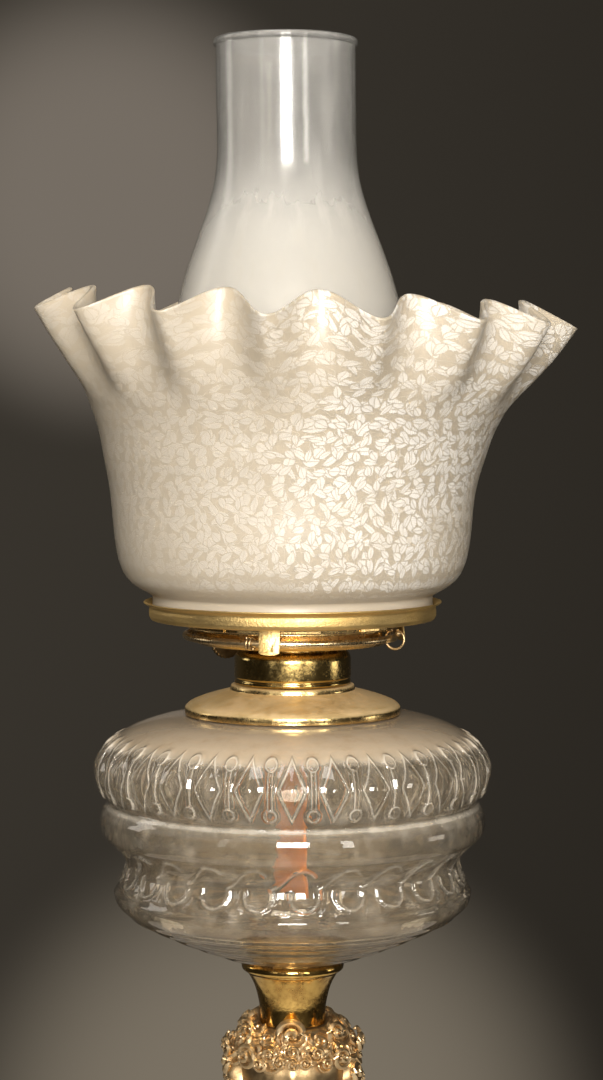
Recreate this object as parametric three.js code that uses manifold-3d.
// A kerosene table lamp: stepped iron plinth, cast figure bust as the stem, spun connector, pressed glass font,
// screw-in flat-wick burner with a spring-clamped shade ring, glass chimney and a crimped glass shade.
// Millimetres, +Z up, origin at the middle of the plinth's underside. The figure looks along -Y.
import * as THREE from 'three';
import { mergeVertices } from 'three/addons/utils/BufferGeometryUtils.js';
import Module from 'manifold-3d';

// ---- Driving dimensions ----
const gap = 0.3;            // left between two pieces that touch
const runningGap = 0.4;     // left between a turning or lifting piece and what guides it

const plinth = { side: 122, corner: 3, steps: [11, 9, 11], inset: 11, wall: 5, roof: 8, bossRadius: 11 };
const rod = { radius: 3.1, tail: 2, head: 1.2, holeGap: 0.5 };       // tail and head: past the nuts
const nut = { acrossFlats: 11, height: 5 };
const washer = { radius: 9, thickness: 1.6 };
const socle = { height: 15.4, footRadius: 33, waistRadius: 20, topRadius: 25, boreRadius: 14 };
const figure = {
  height: 121,              // from the socle to the seat under the connector
  headRoom: 41,             // the part of that above the neck's top
  hairRise: 6,              // how far the curls stand above that seat
  headHalfWidth: 20.5, hairHalfWidth: 26, neckRadius: 12, wall: 3.5, coreWidth: 48, coreDepth: 27,
};
const connector = { neckRadius: 11.9, lipRadius: 18.6, height: 23, floor: 2.7, wall: 0.9 };
const font = { boreClearance: 0.5, neckWall: 3, neckHeight: 8.4, pegRadius: 12.6, pegDepth: 10.5 };
const collar = { flangeRadius: 39, flangeEdge: 2.6, domeRise: 6.2, beadStep: 1.8, wall: 0.8, sleeveDepth: 7 };
const burner = {
  threadDepth: 7.5, spigotWall: 0.8, cupStep: 4.85, cupHeight: 12.6, shoulder: 3.6, neckInset: 3.45, neckHeight: 3.4, wall: 0.7,
  panWallHeight: 6.2, panLip: 2.15, floorThickness: 0.8,
};
const wick = { width: 25.4, thickness: 2.6, hang: 71, showing: 1.8, facing: 25 };   // facing: degrees of its width from +Y towards -X
const wickTube = { clearance: 0.9, wall: 0.6, aboveFloor: 41, belowFloor: 7, spigotClearance: 0.53 };
const ventTube = { radius: 2, wall: 0.5, height: 17 };
const raiser = { shaftRadius: 1.2, wheelRadius: 4.8, wheelThickness: 1.2, wheelSpread: 7, teeth: 14, knobRadius: 6.5, knobThickness: 2.2, knobClearance: 4.45 };
const chimney = {
  baseRadius: 37.5, bulge: 8.5, bulgeHeight: 72, tubeRadius: 25.2, tubeFrom: 164, bead: 0.7, height: 208.5, wall: 1.7, fitHeight: 12,
};
const prong = { count: 4, width: 9, belowFlare: 0.6, thickness: 0.8, turn: 45 };
const dome = { rise: 25, inset: 8, seatWidth: 2, wall: 0.7, slotMargin: 1.6, slotWidth: 9 };
const fitter = { radius: 50.6, height: 7.4, wall: 2.3, clearance: 0.45 };                      // the plain foot of the shade
const shadeRing = { wallHeight: 5, lipReach: 2.75, lipRise: 1.3, sheet: 0.7 };
const tab = { width: 7.3, drop: 9.2, count: 3, first: -11 };                  // first: degrees from -Y towards +X
const clampWire = { radius: 1.3, from: 70, sweep: 334 };
const lashing = { radius: 0.5, turns: 2, at: -22.5 };
const endLoop = { radius: 3.4, wireRadius: 0.5, at: 66 };
const shade = {
  flutes: 16, phase: -5.9, crimpRadial: 7.5, crimpRise: 4, crimpDepth: 36, rimRadius: 89.4, height: 111,
  rimShift: 2.8, rightDrop: 3, frontDrop: 2,                                  // how the hand-crimped rim stands askew
};
const lift = { shaftDrop: 3.2 };                                              // raiser axis below the pan

const round = { large: 40, medium: 28, fine: 24, small: 14 };                 // sides of a turned piece

// ---- Levels, from the table up ----
const plinthTop = plinth.steps.reduce((sum, h) => sum + h, 0);
const socleBase = plinthTop + gap;
const figureBase = socleBase + socle.height + gap;
const crown = figureBase + figure.height;
const connectorBase = crown + gap;
const connectorTop = connectorBase + connector.height;
const fontBase = connectorTop + gap;
const fontShoulder = 89.4;                                                    // glass top under the flange, above fontBase
const collarBase = fontBase + fontShoulder + gap;
const collarTop = collarBase + collar.flangeEdge + collar.domeRise + 1.7;
const cupBase = collarTop + gap;
const burnerFloor = cupBase + 1.2;
const neckBase = cupBase + burner.cupHeight;
const panBase = neckBase + burner.neckHeight - 1.3;
const panTop = panBase + burner.panWallHeight;
const raiserLevel = panBase - lift.shaftDrop;
const seatBase = panTop + gap;                                                // plate that carries chimney and dome
const seatTop = seatBase + 0.8;
const chimneyBase = seatTop + gap;
const ringFloor = seatTop + 1.2;
const shadeBase = ringFloor + shadeRing.sheet + gap;
const wickTop = burnerFloor + wickTube.aboveFloor + wick.showing;

// Radii that follow from the pieces they fit: out from the wick to its tube, the threaded sleeve, glass neck and cup,
// and out from the chimney's foot to the prongs, ring and clamp.
const tubeInner = { x: wick.width + 2 * wickTube.clearance, y: wick.thickness + 2 * wickTube.clearance };
const tubeOuter = { x: tubeInner.x + 2 * wickTube.wall, y: tubeInner.y + 2 * wickTube.wall };
const spigotBore = Math.hypot(tubeOuter.x, tubeOuter.y) / 2 + wickTube.spigotClearance;
const sleeveRadius = spigotBore + burner.spigotWall + runningGap;
const neckBore = sleeveRadius + collar.wall + font.boreClearance;
const beadRadius = neckBore + font.neckWall + collar.beadStep;
const cupRadius = sleeveRadius + burner.cupStep;
const cupNeckRadius = cupRadius - burner.neckInset;
const domeRadius = chimney.baseRadius - dome.inset;
const prongRadius = chimney.baseRadius + gap;
const ringHole = prongRadius + prong.thickness + 2;
const clampRadius = ringHole - 0.75 - clampWire.radius;
const panWallRadius = clampRadius - clampWire.radius - 2 * lashing.radius - 0.8;
const ringWallRadius = fitter.radius + fitter.clearance;
const panRimRadius = panWallRadius + burner.panLip;
const raiserReach = clampRadius + clampWire.radius + raiser.knobClearance + raiser.knobThickness;
const raiserOffset = wick.thickness / 2 + gap + raiser.wheelRadius;           // from the wick's middle plane

// ---- Solid modelling helpers ----
const wasm = await Module();
wasm.setup();

function toSolid(geometry) {
  const bare = geometry.clone();
  for (const name of Object.keys(bare.attributes)) if (name !== 'position') bare.deleteAttribute(name);
  const merged = mergeVertices(bare, 1e-4);
  return new wasm.Manifold(new wasm.Mesh({
    numProp: 3,
    vertProperties: new Float32Array(merged.attributes.position.array),
    triVerts: new Uint32Array(merged.index.array),
  }));
}

function toGeometry(solid) {
  const mesh = solid.getMesh();
  const positions = new Float32Array(mesh.numVert * 3);
  for (let i = 0; i < mesh.numVert; i++) {
    positions.set(mesh.vertProperties.subarray(i * mesh.numProp, i * mesh.numProp + 3), i * 3);
  }
  return new THREE.BufferGeometry()
    .setAttribute('position', new THREE.BufferAttribute(positions, 3))
    .setIndex(new THREE.BufferAttribute(mesh.triVerts, 1));
}

const cut = (body, ...tools) => toGeometry(tools.reduce((s, t) => s.subtract(toSolid(t)), toSolid(body)));
const join = (body, ...more) => toGeometry(more.reduce((s, t) => s.add(toSolid(t)), toSolid(body)));

// Turns a closed outline of [radius, height] pairs about Z. The outline may start and end on the axis.
function turned(outline, sides) {
  const points = outline.map(([r, z]) => new THREE.Vector2(r, z));
  if (THREE.ShapeUtils.area(points) < 0) points.reverse();
  const onAxis = points[0].x === 0 && points[points.length - 1].x === 0;
  if (!onAxis) points.push(points[0].clone());
  return new THREE.LatheGeometry(points, sides).rotateX(Math.PI / 2);
}

// A wall between two matching outlines: out along the first, back along the second.
const wallOutline = (outer, inner) => [...outer, ...[...inner].reverse()];

// Smooth curve through [radius, height] pairs, as `count` pairs.
function smooth(pairs, count) {
  const curve = new THREE.CatmullRomCurve3(pairs.map(([r, z]) => new THREE.Vector3(r, 0, z)), false, 'centripetal');
  return curve.getSpacedPoints(count - 1).map((p) => [p.x, p.z]);
}

const disc = (radius, z0, z1, sides) => turned([[0, z0], [radius, z0], [radius, z1], [0, z1]], sides);
const box = (x, y, z, cx, cy, cz) => new THREE.BoxGeometry(x, y, z).translate(cx, cy, cz);
const ball = (rx, ry, rz, cx, cy, cz, across = 14, up = 9) =>
  new THREE.SphereGeometry(1, across, up).rotateX(Math.PI / 2).scale(rx, ry, rz).translate(cx, cy, cz);

// Direction in the XY plane, in degrees from -Y (the front) towards +X.
const around = (degrees, radius) => {
  const a = THREE.MathUtils.degToRad(degrees);
  return [radius * Math.sin(a), -radius * Math.cos(a)];
};

// Surface through rings of points that close on themselves, from the last ring back to the first.
function ringSkin(rings) {
  const n = rings[0].length;
  const positions = new Float32Array(rings.flat(2));
  const index = [];
  rings.forEach((_, j) => {
    const next = (j + 1) % rings.length;
    for (let i = 0; i < n; i++) {
      const a = j * n + i, b = j * n + (i + 1) % n, c = next * n + (i + 1) % n, d = next * n + i;
      index.push(a, b, c, a, c, d);
    }
  });
  return new THREE.BufferGeometry().setAttribute('position', new THREE.BufferAttribute(positions, 3)).setIndex(index);
}

// Round wire along a curve: a section swept by ExtrudeGeometry.
function wireAlong(curve, radius, sides, steps) {
  const section = new THREE.Shape();
  section.absarc(0, 0, radius, 0, 2 * Math.PI);
  return new THREE.ExtrudeGeometry(section, { extrudePath: curve, steps, curveSegments: sides / 2, bevelEnabled: false });
}

// ---- Materials ----
const finish = (color, roughness, metalness, opacity = 1) =>
  new THREE.MeshStandardMaterial({ color, roughness, metalness, opacity, transparent: opacity < 1 });
const look = {
  iron: finish(0x1c1b1a, 0.45, 0.3),
  steel: finish(0x77756f, 0.5, 0.9),
  castBrass: finish(0x8f7440, 0.38, 1),
  spunBrass: finish(0xb08a45, 0.3, 1),
  goldBrass: finish(0xc79a4b, 0.42, 1),
  wire: finish(0xb89a66, 0.35, 1),
  clearGlass: finish(0xe9e6dc, 0.06, 0, 0.3),
  pressedGlass: finish(0xe6dcc4, 0.08, 0, 0.35),
  etchedGlass: finish(0xeee2cd, 0.6, 0, 0.8),
  plaster: finish(0xd9d2c2, 0.95, 0),
  cotton: finish(0xc8813f, 0.95, 0),
};

const lamp = new THREE.Group();
function add(name, geometry, material, parent = lamp) {
  const mesh = new THREE.Mesh(geometry, material);
  mesh.name = name;
  parent.add(mesh);
  return mesh;
}

// ---- Stem: plinth, tie rod, socle, figure, connector ----
function squareStep(side, z0, z1) {
  const h = side / 2, c = plinth.corner;
  const shape = new THREE.Shape();
  shape.absarc(h - c, h - c, c, 0, Math.PI / 2);
  shape.absarc(c - h, h - c, c, Math.PI / 2, Math.PI);
  shape.absarc(c - h, c - h, c, Math.PI, 1.5 * Math.PI);
  shape.absarc(h - c, c - h, c, 1.5 * Math.PI, 2 * Math.PI);
  return new THREE.ExtrudeGeometry(shape, { depth: z1 - z0, bevelEnabled: false, curveSegments: 3 }).translate(0, 0, z0);
}

// Three square steps, hollow below except for a boss round the rod.
function makePlinth() {
  const cavityRoof = plinthTop - plinth.roof;
  let level = 0;
  const steps = plinth.steps.map((height, i) => {
    const overlap = i ? 0.5 : 0;
    const step = squareStep(plinth.side - 2 * i * plinth.inset, level - overlap, level + height);
    level += height;
    return step;
  });
  const outside = join(...steps);
  const inner = plinth.side - 2 * plinth.wall;
  const low = box(inner, inner, 2 * (plinth.steps[0] - plinth.wall), 0, 0, 0);
  const highSide = plinth.side - 4 * plinth.inset - 2 * plinth.wall;
  const high = box(highSide, highSide, 2 * cavityRoof, 0, 0, 0);
  const hollow = cut(join(low, high), disc(plinth.bossRadius, cavityRoof - 6, cavityRoof + 1, round.medium));
  return cut(outside, hollow, disc(rod.radius + rod.holeGap, -1, plinthTop + 1, round.small));
}

function hexNut(z0) {
  const ring = new THREE.Shape();
  const corner = nut.acrossFlats / Math.sqrt(3);
  for (let k = 0; k < 6; k++) ring.lineTo(corner * Math.cos(k * Math.PI / 3), corner * Math.sin(k * Math.PI / 3));
  const bore = new THREE.Path();
  bore.absarc(0, 0, rod.radius + gap, 0, 2 * Math.PI, true);
  ring.curves.shift();
  ring.closePath();
  ring.holes.push(bore);
  return new THREE.ExtrudeGeometry(ring, { depth: nut.height, bevelEnabled: false, curveSegments: 8 }).translate(0, 0, z0);
}

const bossFace = plinthTop - plinth.roof - 6;
const washerTop = bossFace - gap;
const washerBase = washerTop - washer.thickness;
const lowerNutBase = washerBase - gap - nut.height;
const connectorFloorTop = connectorBase + connector.floor;
const upperNutBase = connectorFloorTop + gap;

const makeWasher = () => turned([[rod.radius + gap, washerBase], [washer.radius, washerBase], [washer.radius, washerTop],
  [rod.radius + gap, washerTop]], round.small);
const makeRod = () => disc(rod.radius, lowerNutBase - rod.tail, upperNutBase + nut.height + rod.head, round.small);

function makeSocle() {
  const b = socleBase, h = socle.height;
  const outer = [[socle.footRadius, b], [socle.footRadius, b + 3], [socle.footRadius - 4, b + 4.6],
    [socle.waistRadius + 2.5, b + 7], [socle.waistRadius, b + 9.6], [socle.topRadius - 1, b + h - 3.2],
    [socle.topRadius, b + h - 1.8], [socle.topRadius, b + h]];
  return turned([...outer, [socle.boreRadius, b + h], [socle.boreRadius, b]], round.fine);
}

// A mass of curls round the crown and the back of the head, drawn in where the face shows.
function makeHair(middle) {
  const columns = 22, rows = 11;
  const hair = new THREE.SphereGeometry(1, columns, rows).rotateX(Math.PI / 2);
  const spot = hair.attributes.position;
  for (let k = 0; k < spot.count; k++) {
    const x = spot.getX(k), y = spot.getY(k), z = spot.getZ(k);
    const column = k % (columns + 1), row = Math.floor(k / (columns + 1));
    const pole = row === 0 || row === rows;
    const curl = pole ? 0 : ((column % columns + row) % 2 ? 2 : -2);
    const front = THREE.MathUtils.smoothstep(-y, 0.25, 0.6) * (1 - THREE.MathUtils.smoothstep(z, 0.25, 0.55));
    const neck = 1 - THREE.MathUtils.smoothstep(z, -1, -0.55);
    const size = figure.hairHalfWidth - 2 + curl - 12 * front - 5 * neck;
    spot.setXYZ(k, x * size, y * (size - 0.5), middle + z * (size + figure.hairRise - 2));
  }
  return hair.translate(0, 3, 0);
}

// The bust below the head: [share of its height, half width, half depth, how far it stands back].
const bustHeight = figure.height - figure.headRoom;
const bustSections = [[0, 17, 15.5, 0], [0.075, 18, 16, 0], [0.2, 24, 18.5, 0.5], [0.325, 33, 20, 1], [0.425, 40, 19.5, 2],
  [0.5125, 43, 17, 3], [0.581, 39, 14.5, 3.5], [0.631, 27, 13, 4], [0.681, 16.5, 12.5, 3],
  [0.75, figure.neckRadius + 0.5, 12.5, 2], [0.85, figure.neckRadius - 0.2, 12.3, 1], [1, figure.neckRadius - 1, 12, 0]];

// A closed body through the elliptical sections above.
function bust() {
  const sides = 20, rows = bustSections;
  const positions = [];
  rows.forEach(([z, rx, ry, back]) => {
    for (let i = 0; i < sides; i++) {
      const a = 2 * Math.PI * i / sides;
      positions.push(rx * Math.cos(a), ry * Math.sin(a) + back, figureBase + z * bustHeight);
    }
  });
  const last = rows.length - 1;
  positions.push(0, rows[0][3], figureBase, 0, rows[last][3], figureBase + bustHeight);
  const index = [];
  for (let i = 0; i < sides; i++) {
    const next = (i + 1) % sides;
    for (let j = 0; j < last; j++) {
      const a = j * sides + i, b = j * sides + next, c = b + sides, d = a + sides;
      index.push(a, b, c, a, c, d);
    }
    index.push(rows.length * sides, next, i, rows.length * sides + 1, last * sides + i, last * sides + next);
  }
  return new THREE.BufferGeometry()
    .setAttribute('position', new THREE.BufferAttribute(new Float32Array(positions), 3)).setIndex(index);
}

// The cast bust: shoulders, neck and head, hollow from below and bored for the rod.
function makeFigure() {
  const f = figure, b = figureBase;
  const headMiddle = crown - 26;
  const head = [
    ball(f.headHalfWidth, 24, 25, 0, 1, headMiddle, 14, 9),
    ball(15.5, 17, 21, 0, -6.5, crown - 34, 12, 8),
    ball(3, 4.5, 6.5, 0, -22.5, crown - 36.5, 6, 5),
    makeHair(crown - 23),
  ];
  const outside = join(bust(), ...head);
  const seat = disc(connector.neckRadius + runningGap, crown, crown + 12, round.medium);
  const hollow = join(
    disc(socle.boreRadius - 2, b - 1, b + 0.125 * bustHeight, round.small),
    ball(f.coreWidth / 2, f.coreDepth / 2, 0.2625 * bustHeight, 0, 1.5, b + 0.375 * bustHeight, 14, 9),
    disc(f.neckRadius - f.wall - 1.5, b + 0.625 * bustHeight, headMiddle, round.small),
    ball(f.headHalfWidth - f.wall - 3, 16, 19, 0, 1, headMiddle, 10, 7),
    disc(rod.radius + rod.holeGap, b - 1, crown + 1, round.small),
  );
  return toGeometry(toSolid(cut(outside, seat, hollow)).simplify(0.15));
}

// Inner face of the connector's cup, as [radius, height]. The cement and the peg follow it.
const cupInside = [[0, 0], [0, 6.5], [1.1, 10], [2.2, 12.6], [3.6, 15], [5.3, 17.6], [6, 20.2]]
  .map(([dr, dz]) => [connector.neckRadius - connector.wall + dr, connectorFloorTop + dz]);

function makeConnector() {
  const b = connectorBase, n = connector.neckRadius, lip = connector.lipRadius;
  const outer = [[n, b], [n, b + 5.6], [n + 0.4, b + 8], [n + 1.3, b + 12.3], [n + 2.6, b + 15.8], [n + 4.3, b + 18.6],
    [lip - 1.5, b + 19.5], [lip - 0.3, b + 19.9], [lip, b + 21], [lip - 0.3, b + 22.2], [lip - 0.9, connectorTop]];
  const floor = [[rod.radius + rod.holeGap, b], ...outer];
  return turned([...floor, ...[...cupInside].reverse(), [rod.radius + rod.holeGap, connectorFloorTop]], round.medium);
}

// Plaster that holds the glass peg in the connector's cup.
function makeConnectorCement() {
  const bottom = fontBase - font.pegDepth - gap;
  const rim = fontBase - 2;
  const radiusAt = (z) => {
    const k = cupInside.findIndex(([, cz]) => cz > z);
    const [r0, z0] = cupInside[k - 1], [r1, z1] = cupInside[k];
    return r0 + (r1 - r0) * (z - z0) / (z1 - z0);
  };
  const outer = [bottom - 1.8, bottom + 1, bottom + 4, rim].map((z) => [radiusAt(z) - gap, z]);
  return turned([[0, bottom - 1.8], ...outer, [font.pegRadius + 1.6 + gap, rim], [font.pegRadius - 2 + gap, bottom + 0.2],
    [0, bottom]], round.medium);
}

// ---- Font and its collar ----
// Outside of the pressed glass from the peg to the shoulder, as [radius, height above the connector].
const fontOutside = [[19.5, 0], [31.5, 4.4], [44.4, 8.9], [53.2, 13.3], [59.4, 17.2], [63.6, 21], [64.9, 25.2], [63.2, 29.2],
  [59.9, 36.6], [65, 43.4], [69.8, 48.2], [69.8, 52.4], [66.6, 56.8], [69.6, 61.6], [71.5, 68], [70.2, 73.6], [63.6, 81.4],
  [51, 87.6], [42, 89]];
// Its smooth inside, from the floor to the neck.
const fontInside = [[0, 6], [34, 10.8], [55.6, 20.6], [59, 25.2], [54.9, 36.6], [61.6, 49], [62, 55], [66.4, 67],
  [56.4, 80.9], [30, 85.4]];

function makeFont() {
  const lifted = (pairs) => pairs.map(([r, z]) => [r, z + fontBase]);
  const neckTop = fontBase + fontShoulder + font.neckHeight;
  const neckOuter = neckBore + font.neckWall;
  const peg = [[0, -font.pegDepth], [font.pegRadius - 2, -font.pegDepth], [font.pegRadius, -5.5], [font.pegRadius + 1.6, 0]];
  const outline = [...lifted(peg), ...lifted(fontOutside), [neckOuter, fontBase + fontShoulder], [neckOuter, neckTop],
    [neckBore, neckTop], [neckBore, fontBase + 85.7], ...lifted(fontInside).reverse()];
  return turned(outline, round.medium);
}

// Domed brass flange with an inner threaded sleeve. Each pair follows the dome from the flange's edge to the bead.
const domeAt = (share, rise) => [collar.flangeRadius + (beadRadius - collar.flangeRadius) * share, collar.flangeEdge + collar.domeRise * rise];
const collarDome = [[collar.flangeRadius, 0], [collar.flangeRadius, collar.flangeEdge], domeAt(0.18, 0.19), domeAt(0.42, 0.48),
  domeAt(0.72, 0.76), domeAt(0.976, 1), [beadRadius, collarTop - collarBase]];
function makeCollar() {
  const w = collar.wall, sleeveOuter = sleeveRadius + w;
  const outer = collarDome.map(([r, z]) => [r, z + collarBase]);
  const inner = collarDome.map(([r, z], i) => [r - w, i ? z + collarBase - w : collarBase]);
  return turned([...outer, [sleeveRadius, collarTop], [sleeveRadius, collarTop - collar.sleeveDepth],
    [sleeveOuter, collarTop - collar.sleeveDepth], [sleeveOuter, collarTop - w], ...inner.reverse()], round.medium);
}
function makeCollarCement() {
  const w = collar.wall + gap;
  const glassTop = fontBase + fontShoulder + gap;
  const inner = neckBore + font.neckWall + gap;
  const roof = collarDome.slice(2, 6).map(([r, z]) => [r - w - 0.5, z + collarBase - w]);
  const last = roof[roof.length - 1];
  return turned([[inner, glassTop], [roof[0][0], glassTop], ...roof, [inner, last[1]]], round.medium);
}

// ---- Burner ----
// Everything that is turned to the wick's direction hangs in this group: its X axis runs along the wick's width.
const wickFrame = new THREE.Group();
wickFrame.rotation.z = THREE.MathUtils.degToRad(90 + wick.facing);
lamp.add(wickFrame);
const inWickFrame = (geometry) => geometry.rotateZ(wickFrame.rotation.z);

const tubeBase = burnerFloor - wickTube.belowFloor, tubeTop = burnerFloor + wickTube.aboveFloor;
const ventAt = -(tubeOuter.y / 2 + ventTube.radius + 1);

function makeCup() {
  const r = cupRadius, n = cupNeckRadius, w = burner.wall, s = burner.shoulder;
  const spigot = sleeveRadius - runningGap;
  const shoulderOuter = [0, 30, 60, 90].map((a) => {
    const t = THREE.MathUtils.degToRad(a);
    return [n + (r - n) * Math.cos(t), neckBase - s + s * Math.sin(t)];
  });
  const top = neckBase + burner.neckHeight;
  const outer = [[spigot, cupBase - burner.threadDepth], [spigot, cupBase], [r, cupBase], ...shoulderOuter, [n, top]];
  const inner = [[spigotBore, cupBase - burner.threadDepth], [spigotBore, cupBase + w], [r - w, cupBase + w],
    ...shoulderOuter.slice(0, 3).map(([a, z]) => [a - w, z - w]), [n - w, neckBase - w], [n - w, top]];
  const shaftHole = new THREE.CylinderGeometry(raiser.shaftRadius + runningGap, raiser.shaftRadius + runningGap, r + 4, 12)
    .rotateZ(Math.PI / 2).translate((r + 4) / 2, raiserOffset, raiserLevel);
  return cut(turned(wallOutline(outer, inner), round.fine), inWickFrame(shaftHole));
}

function makeBurnerFloor() {
  const plate = disc(cupRadius - burner.wall - gap, burnerFloor, burnerFloor + burner.floorThickness, round.fine);
  const slot = inWickFrame(box(tubeOuter.x + 2 * gap, tubeOuter.y + 2 * gap, 6, 0, 0, burnerFloor));
  const vent = inWickFrame(disc(ventTube.radius + gap, burnerFloor - 2, burnerFloor + 3, round.small).translate(0, ventAt, 0));
  return cut(plate, slot, vent);
}

// Flat tube with two windows through which the raiser's wheels reach the wick.
function makeWickTube() {
  const height = tubeTop - tubeBase, middle = (tubeTop + tubeBase) / 2;
  const windows = [-1, 1].map((side) => box(raiser.wheelThickness + 1, tubeOuter.y, 2 * raiser.wheelRadius,
    side * raiser.wheelSpread, tubeOuter.y / 2, raiserLevel));
  return cut(box(tubeOuter.x, tubeOuter.y, height, 0, 0, middle), box(tubeInner.x, tubeInner.y, height + 2, 0, 0, middle), ...windows);
}

const makeVent = () => turned([[ventTube.radius - ventTube.wall, burnerFloor - 3], [ventTube.radius, burnerFloor - 3],
  [ventTube.radius, burnerFloor + ventTube.height], [ventTube.radius - ventTube.wall, burnerFloor + ventTube.height]],
round.small).translate(0, ventAt, 0);

function makePan() {
  const hole = cupNeckRadius + gap, wallOuter = panWallRadius, w = burner.wall;
  return turned([[hole, panBase], [wallOuter, panBase], [wallOuter, panTop - 0.9], [panRimRadius, panTop - 0.7],
    [panRimRadius, panTop], [wallOuter - w, panTop], [wallOuter - w, panBase + w], [hole, panBase + w]], round.fine);
}

// Flat seat for the chimney with spring prongs round it.
function makeProngs() {
  const outer = prongRadius + prong.thickness, hole = domeRadius - dome.seatWidth;
  const plate = turned([[hole, seatBase], [outer, seatBase], [outer, seatTop], [hole, seatTop]], round.fine);
  const height = chimneyBase + chimney.fitHeight - prong.belowFlare - seatBase;
  const prongs = Array.from({ length: prong.count }, (_, k) =>
    box(prong.width, prong.thickness, height, 0, -(prongRadius + prong.thickness / 2), seatBase + height / 2)
      .rotateZ(THREE.MathUtils.degToRad(prong.turn + k * 360 / prong.count)));
  return join(plate, ...prongs);
}

// Domed deflector with the slot that the flame passes through.
function makeDome() {
  const foot = chimneyBase, r = domeRadius, w = dome.wall;
  const arc = (radius, rise) => [0, 20, 40, 60, 76, 90].map((a) => {
    const t = THREE.MathUtils.degToRad(a);
    return [a === 90 ? 0 : radius * Math.cos(t), foot + rise * Math.sin(t)];
  });
  const shell = turned([...arc(r, dome.rise), ...arc(r - w, dome.rise - w).reverse()], round.fine);
  return cut(shell, inWickFrame(box(tubeOuter.x + dome.slotMargin, dome.slotWidth, 30, 0, 0, foot + dome.rise)));
}

function toothedDisc(radius, teeth, depth, bore, thickness) {
  const shape = new THREE.Shape();
  for (let k = 0; k < 2 * teeth; k++) {
    const a = k * Math.PI / teeth, r = k % 2 ? radius - depth : radius;
    shape[k ? 'lineTo' : 'moveTo'](r * Math.cos(a), r * Math.sin(a));
  }
  shape.closePath();
  const hole = new THREE.Path();
  hole.absarc(0, 0, bore, 0, 2 * Math.PI, true);
  shape.holes.push(hole);
  return new THREE.ExtrudeGeometry(shape, { depth: thickness, bevelEnabled: false, curveSegments: 6 })
    .translate(0, 0, -thickness / 2).rotateY(Math.PI / 2);
}

// ---- Shade ring and the wires that hold it on the burner ----
function makeShadeRing() {
  const w = shadeRing.sheet, wall = ringWallRadius, lip = ringWallRadius + shadeRing.lipReach;
  const top = ringFloor + shadeRing.wallHeight;
  const ring = turned([[ringHole, ringFloor], [wall + w, ringFloor], [wall + w, top], [lip, top + shadeRing.lipRise],
    [lip - 0.3, top + shadeRing.lipRise + 0.5], [wall, top + 0.6], [wall, ringFloor + w], [ringHole, ringFloor + w]], round.large);
  const tabs = Array.from({ length: tab.count }, (_, k) => {
    const plate = new THREE.Shape();
    const h = tab.width / 2, c = 1.6;
    plate.moveTo(-h, 0.3);
    plate.lineTo(-h, c - tab.drop);
    plate.absarc(c - h, c - tab.drop, c, Math.PI, 1.5 * Math.PI);
    plate.absarc(h - c, c - tab.drop, c, 1.5 * Math.PI, 2 * Math.PI);
    plate.lineTo(h, 0.3);
    plate.closePath();
    return new THREE.ExtrudeGeometry(plate, { depth: w, bevelEnabled: false, curveSegments: 3 })
      .rotateX(Math.PI / 2).translate(0, -ringHole, ringFloor)
      .rotateZ(THREE.MathUtils.degToRad(tab.first + k * 360 / tab.count));
  });
  return join(ring, ...tabs);
}

class RingArc extends THREE.Curve {
  constructor(radius, z, from, sweep) {
    super();
    Object.assign(this, { radius, z, from, sweep });
  }
  getPoint(t) {
    const [x, y] = around(this.from - t * this.sweep, this.radius);
    return new THREE.Vector3(x, y, this.z);
  }
}
const clampLevel = panBase + burner.panWallHeight / 2 - 0.2;

// Two turns of thin wire round the clamp wire, with a short tail.
class Lashing extends THREE.Curve {
  getPoint(t) {
    const turn = t * lashing.turns * 2 * Math.PI + Math.PI / 2;
    const coil = clampWire.radius + lashing.radius + 0.15;
    const [x, y] = around(lashing.at + (t - 0.5) * lashing.turns * 2.1, clampRadius + coil * Math.cos(turn));
    return new THREE.Vector3(x, y, clampLevel + coil * Math.sin(turn));
  }
}

// A closed loop of thin wire that hangs on the clamp wire and stands outwards from it.
function makeEndLoop() {
  const inside = clampRadius - clampWire.radius - endLoop.wireRadius - gap;
  const [x, y] = around(endLoop.at, inside + endLoop.radius);
  return new THREE.TorusGeometry(endLoop.radius, endLoop.wireRadius, 6, 18)
    .rotateX(Math.PI / 2).rotateZ(THREE.MathUtils.degToRad(endLoop.at - 90)).translate(x, y, clampLevel - 0.3);
}

// ---- Chimney and shade ----
// Outside of the chimney as [radius, height above its foot].
const bulgeRadius = chimney.baseRadius + chimney.bulge;
const chimneyFlare = [[0.15, 0.12], [0.59, 0.4], [0.91, 0.73]].map(([out, up]) =>
  [chimney.baseRadius + chimney.bulge * out, chimney.fitHeight + (chimney.bulgeHeight - chimney.fitHeight) * up]);
const chimneyNeck = [[0.07, 0.21], [0.25, 0.42], [0.51, 0.625], [0.77, 0.79], [0.9, 0.88]].map(([inwards, up]) =>
  [bulgeRadius - (bulgeRadius - chimney.tubeRadius) * inwards, chimney.bulgeHeight + (chimney.tubeFrom - chimney.bulgeHeight) * up]);
const chimneyOutside = [[chimney.baseRadius, 0], [chimney.baseRadius, chimney.fitHeight], ...chimneyFlare,
  [bulgeRadius, chimney.bulgeHeight], ...chimneyNeck, [chimney.tubeRadius, chimney.tubeFrom],
  [chimney.tubeRadius, chimney.height - 3], [chimney.tubeRadius + chimney.bead, chimney.height - 1.2]];
function makeChimney() {
  const b = chimneyBase;
  const outer = chimneyOutside.map(([r, z]) => [r, z + b]);
  const inner = chimneyOutside.slice(0, -1).map(([r, z]) => [r - chimney.wall, z + b]);
  return turned(wallOutline([...outer, [chimney.tubeRadius + chimney.bead - 0.8, b + chimney.height]],
    [...inner, [chimney.tubeRadius - chimney.wall, b + chimney.height]]), round.medium);
}

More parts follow.
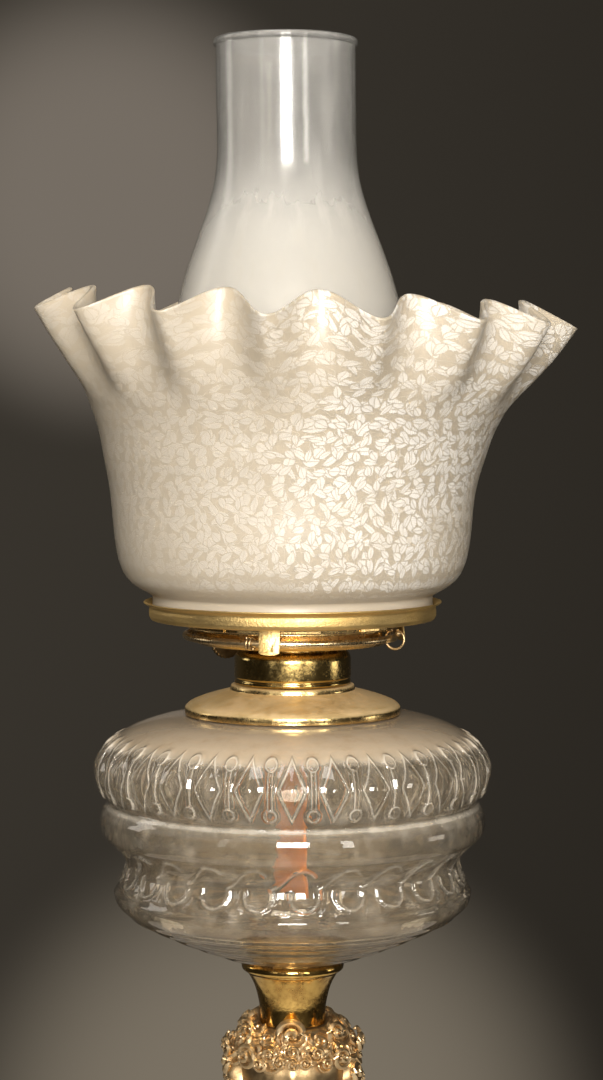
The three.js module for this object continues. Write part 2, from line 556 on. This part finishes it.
// The shade's meridian before crimping, as [radius, height above its foot], from shares of the way from fitter to rim.
const shadeMeridian = [[fitter.radius, 0], [fitter.radius, fitter.height],
  ...[[0.144, 0.035], [0.25, 0.076], [0.317, 0.139], [0.361, 0.247], [0.394, 0.373], [0.479, 0.5125], [0.629, 0.657],
    [0.82, 0.797], [0.905, 0.865], [1, 1]].map(([out, up]) =>
    [fitter.radius + (shade.rimRadius - fitter.radius) * out, fitter.height + (shade.height - fitter.height) * up])];

// Crimp: folds point outwards and down, and grow from nothing to full at the rim. The rim also stands off-centre.
function crimped([radius, height], degrees) {
  const grown = Math.max(0, 1 - (shade.height - height) / shade.crimpDepth) ** 1.4;
  const wave = Math.cos(shade.flutes * THREE.MathUtils.degToRad(degrees - shade.phase));
  const fold = wave + 0.18 * (wave * wave - 0.5);
  const lean = THREE.MathUtils.smoothstep(height, 0.35 * shade.height, 0.9 * shade.height);
  const [x, y] = around(degrees, radius + shade.crimpRadial * grown * fold);
  const tilt = lean * (shade.rightDrop * x - shade.frontDrop * y) / shade.rimRadius;
  return [x + shade.rimShift * lean, y, shadeBase + height - shade.crimpRise * grown * fold - tilt];
}

function makeShade() {
  const columns = 5 * shade.flutes;
  const levels = smooth(shadeMeridian.slice(2), 6);
  const outer = [...shadeMeridian.slice(0, 2), ...levels];
  const inner = outer.map(([r, z], i) => [r - fitter.wall, i > 1 ? z + 0.8 : z]);
  inner[inner.length - 1][1] = shade.height;
  const ringOf = (pair) => Array.from({ length: columns }, (_, i) => crimped(pair, i * 360 / columns));
  return ringSkin([...outer, ...inner.reverse()].map(ringOf));
}

// ---- Assembly ----
add('base_plinth', makePlinth(), look.iron);
add('rod_washer', makeWasher(), look.steel);
add('rod_lower_nut', hexNut(lowerNutBase), look.steel);
add('tie_rod', makeRod(), look.steel);
add('rod_upper_nut', hexNut(upperNutBase), look.steel);
add('figure_socle', makeSocle(), look.castBrass);
add('figure_casting', makeFigure(), look.castBrass);
add('font_connector', makeConnector(), look.spunBrass);
add('connector_plaster', makeConnectorCement(), look.plaster);
add('font', makeFont(), look.pressedGlass);
add('font_collar', makeCollar(), look.spunBrass);
add('collar_plaster', makeCollarCement(), look.plaster);

add('burner_cup', makeCup(), look.spunBrass);
add('burner_floor', makeBurnerFloor(), look.spunBrass);
add('burner_pan', makePan(), look.spunBrass);
add('chimney_prongs', makeProngs(), look.spunBrass);
add('burner_dome', makeDome(), look.spunBrass);
add('wick_tube', makeWickTube(), look.spunBrass, wickFrame);
add('vent_tube', makeVent(), look.spunBrass, wickFrame);
add('wick', box(wick.width, wick.thickness, wick.hang + wickTop - tubeBase, 0, 0, (wickTop + tubeBase - wick.hang) / 2), look.cotton, wickFrame);

const raiserGroup = new THREE.Group();
raiserGroup.position.set(0, raiserOffset, raiserLevel);
wickFrame.add(raiserGroup);
const shaftStart = -raiser.wheelSpread - 3, shaftLength = raiserReach - shaftStart;
add('raiser_shaft', new THREE.CylinderGeometry(raiser.shaftRadius, raiser.shaftRadius, shaftLength, 12)
  .rotateZ(Math.PI / 2).translate(shaftStart + shaftLength / 2, 0, 0), look.wire, raiserGroup);
[-1, 1].forEach((side) => {
  const wheel = toothedDisc(raiser.wheelRadius, raiser.teeth, 1.1, raiser.shaftRadius + gap, raiser.wheelThickness);
  add(side < 0 ? 'spur_wheel_inner' : 'spur_wheel_outer', wheel, look.wire, raiserGroup).position.x = side * raiser.wheelSpread;
});
add('raiser_knob', toothedDisc(raiser.knobRadius, 20, 0.5, raiser.shaftRadius + gap, raiser.knobThickness), look.spunBrass, raiserGroup)
  .position.x = raiserReach - raiser.knobThickness / 2;

add('shade_ring', makeShadeRing(), look.goldBrass);
add('clamp_wire', wireAlong(new RingArc(clampRadius, clampLevel, clampWire.from, clampWire.sweep), clampWire.radius, 6, 40), look.wire);
add('lashing_wire', wireAlong(new Lashing(), lashing.radius, 6, 24), look.wire);
add('end_loop', makeEndLoop(), look.wire);
add('chimney', makeChimney(), look.clearGlass);
add('shade', makeShade(), look.etchedGlass);

export default lamp;
